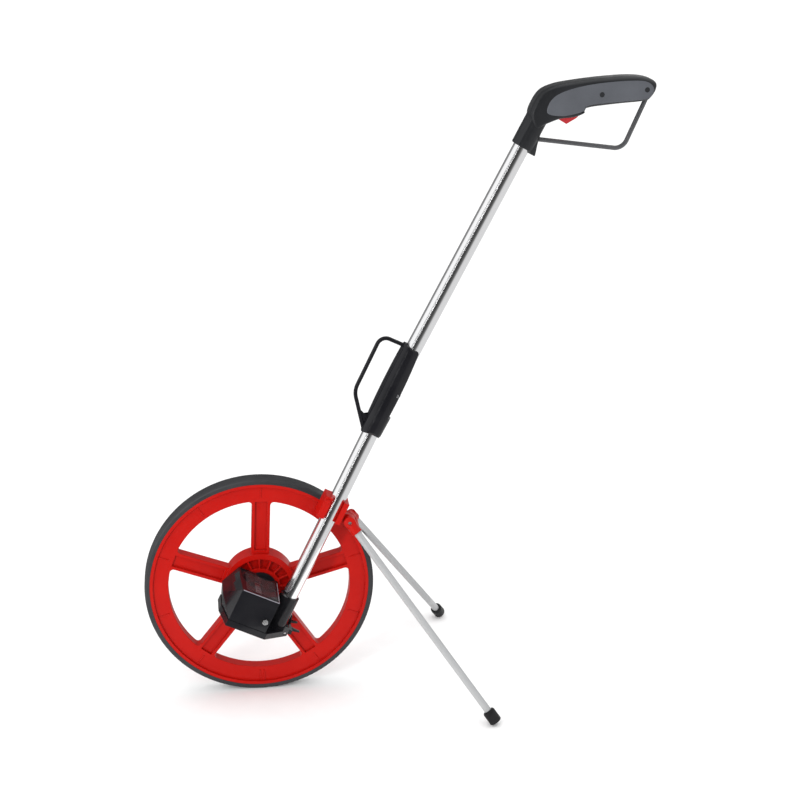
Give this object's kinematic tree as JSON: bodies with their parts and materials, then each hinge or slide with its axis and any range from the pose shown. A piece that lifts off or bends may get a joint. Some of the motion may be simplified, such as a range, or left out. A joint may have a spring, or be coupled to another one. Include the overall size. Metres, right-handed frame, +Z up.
{
  "type": "measuring wheel",
  "caption": "Surveyor's measuring wheel with a hub counter, folding pole, trigger handle with hand guard, carrying loop and fold-out stand.",
  "frame": {"origin": "where the middle of the tyre's tread touches the ground, straight under the axle", "axes": "+Z up, +X back towards the user and the stand, +Y along the axle away from the counter"},
  "size_m": [0.6796, 0.3566, 0.8608],
  "materials": {
    "red_plastic": "moulded, satin gloss",
    "tyre_rubber": "matt",
    "bush_plastic": "matt",
    "gear_plastic": "matt",
    "steel": "plated",
    "chrome_tube": "polished",
    "black_plastic": "glossy",
    "window_glass": "tinted, glossy",
    "drum_white": "matt with black digits",
    "drum_red": "matt with white digits",
    "pad_rubber": "matt",
    "handle_shell": "satin",
    "handle_grip": "soft touch, fine grain",
    "trigger_red": "satin",
    "leg_aluminium": "anodised, matt",
    "foot_rubber": "matt"
  },
  "bodies": {
    "frame": {"base_bracket": "black_plastic", "counter_housing": "black_plastic", "counter_window": "window_glass", "housing_screws": "steel", "drum_shaft": "steel", "axle_bolt": "steel", "axle_washer": "steel", "axle_spacer": "steel", "reset_spring": "steel", "brake_pin": "steel", "lower_tube": "chrome_tube", "lower_knuckle": "steel", "hinge_pin": "steel", "grip_sleeve": "black_plastic", "stand_bracket": "red_plastic", "bracket_screw": "steel"},
    "wheel": {"wheel": "red_plastic", "tyre": "tyre_rubber", "near_bush": "bush_plastic", "far_bush": "bush_plastic", "drive_gear": "gear_plastic"},
    "drum_tenths": {"counter_gear": "gear_plastic", "drum_tenths": "drum_red"},
    "drum_ones": {"drum_ones": "drum_white"},
    "drum_tens": {"drum_tens": "drum_white"},
    "drum_hundreds": {"drum_hundreds": "drum_white"},
    "drum_thousands": {"drum_thousands": "drum_white"},
    "reset": {"reset_button": "chrome_tube"},
    "brake": {"brake_lever": "black_plastic", "brake_pad": "pad_rubber"},
    "lower_rod": {"lower_rod": "steel"},
    "upper_rod": {"upper_rod": "steel"},
    "upper": {"upper_tube": "chrome_tube", "upper_knuckle": "steel", "handle_near": "handle_shell", "handle_far": "handle_shell", "grip_near": "handle_grip", "grip_far": "handle_grip", "hand_guard": "handle_shell", "trigger_pin": "steel", "trigger_spring": "steel", "handle_screws": "black_plastic"},
    "trigger": {"trigger": "trigger_red"},
    "stand": {"yoke": "red_plastic", "yoke_pin": "steel", "near_leg": "leg_aluminium", "far_leg": "leg_aluminium", "near_foot": "foot_rubber", "far_foot": "foot_rubber"}
  },
  "joints": [
    {"name": "wheel_spin", "type": "hinge", "parent": "frame", "child": "wheel", "pos_m": [0, 0, 0.159], "axis": [0, 1, 0], "continuous": true},
    {"name": "tenths_spin", "type": "hinge", "parent": "frame", "child": "drum_tenths", "pos_m": [-0.00814, -0.045, 0.17088], "axis": [0, 1, 0], "continuous": true},
    {"name": "ones_spin", "type": "hinge", "parent": "frame", "child": "drum_ones", "pos_m": [-0.00814, -0.045, 0.17088], "axis": [0, 1, 0], "continuous": true},
    {"name": "tens_spin", "type": "hinge", "parent": "frame", "child": "drum_tens", "pos_m": [-0.00814, -0.045, 0.17088], "axis": [0, 1, 0], "continuous": true},
    {"name": "hundreds_spin", "type": "hinge", "parent": "frame", "child": "drum_hundreds", "pos_m": [-0.00814, -0.045, 0.17088], "axis": [0, 1, 0], "continuous": true},
    {"name": "thousands_spin", "type": "hinge", "parent": "frame", "child": "drum_thousands", "pos_m": [-0.00814, -0.045, 0.17088], "axis": [0, 1, 0], "continuous": true},
    {"name": "pole_fold", "type": "hinge", "parent": "frame", "child": "upper", "pos_m": [0.18669, -0.045, 0.44639], "axis": [0, 1, 0], "range_deg": [0, 150]},
    {"name": "stand_fold", "type": "hinge", "parent": "frame", "child": "stand", "pos_m": [0.12244, -0.045, 0.26753], "axis": [0, -1, 0], "range_deg": [0, 118]},
    {"name": "trigger_pull", "type": "hinge", "parent": "upper", "child": "trigger", "pos_m": [0.3839, -0.045, 0.81777], "axis": [0, -1, 0], "range_deg": [0, 10.5]},
    {"name": "upper_rod_push", "type": "slide", "parent": "upper", "child": "upper_rod", "axis": [-0.4633, 0, -0.8862], "range_m": [0, 0.0026], "stiffness_N_per_m": 1500, "springref_m": -0.003, "deforming": ["trigger_spring"]},
    {"name": "lower_rod_push", "type": "slide", "parent": "frame", "child": "lower_rod", "axis": [-0.4352, 0, -0.9003], "range_m": [0, 0.003]},
    {"name": "brake_turn", "type": "hinge", "parent": "frame", "child": "brake", "pos_m": [0.03044, -0.045, 0.10708], "axis": [0, -1, 0], "range_deg": [0, 12.5]},
    {"name": "reset_push", "type": "slide", "parent": "frame", "child": "reset", "axis": [0, 1, 0], "range_m": [0, 0.003], "stiffness_N_per_m": 300, "springref_m": -0.003, "deforming": ["reset_spring"]}
  ],
  "couplings": [
    {"joint": "tenths_spin", "follows": "wheel_spin", "ratio": -1},
    {"joint": "ones_spin", "follows": "wheel_spin", "ratio": -0.1},
    {"joint": "tens_spin", "follows": "wheel_spin", "ratio": -0.01},
    {"joint": "hundreds_spin", "follows": "wheel_spin", "ratio": -0.001},
    {"joint": "thousands_spin", "follows": "wheel_spin", "ratio": -0.0001},
    {"joint": "trigger_pull", "follows": "upper_rod_push", "rad_per_m": 60.41},
    {"joint": "lower_rod_push", "follows": "upper_rod_push", "ratio": 1},
    {"joint": "brake_turn", "follows": "upper_rod_push", "rad_per_m": 71.43}
  ]
}
